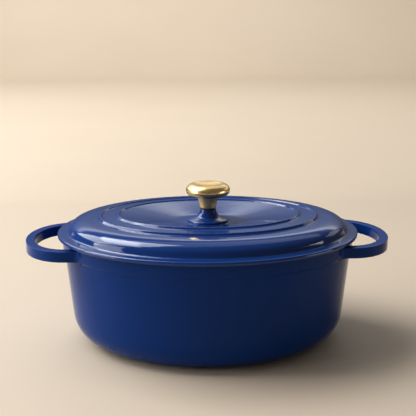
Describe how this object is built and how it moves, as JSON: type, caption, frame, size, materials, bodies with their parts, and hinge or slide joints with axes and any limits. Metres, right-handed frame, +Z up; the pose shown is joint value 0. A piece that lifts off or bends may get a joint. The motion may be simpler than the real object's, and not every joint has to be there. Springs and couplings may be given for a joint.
{
  "type": "cast iron dutch oven",
  "caption": "Oval enamelled cast-iron dutch oven with loop handles at both ends and a domed, ringed lid with a brass mushroom knob.",
  "frame": {"origin": "on the surface the pot stands on, under the middle of the pot", "axes": "+X along the long axis towards one handle, +Y across the pot, +Z up through the knob"},
  "size_m": [0.3628, 0.2422, 0.1561],
  "materials": {
    "blue_enamel": "gloss cobalt blue vitreous enamel over cast iron; cream enamel inside, matt black enamel on the rim",
    "brass": "polished warm brass",
    "steel": "plain stainless steel",
    "black_rubber": "matt black silicone rubber"
  },
  "bodies": {
    "pot": {"pot_casting": "blue_enamel"},
    "lid": {"lid_casting": "blue_enamel", "knob_gasket": "black_rubber", "knob_stem": "brass", "knob_cap": "brass", "knob_insert": "steel", "flat_washer": "steel", "spring_washer": "steel", "knob_screw": "steel"}
  },
  "joints": [
    {"name": "lid_lift", "type": "slide", "parent": "pot", "child": "lid", "axis": [0, 0, 1], "range_m": [0, 0.12]}
  ]
}
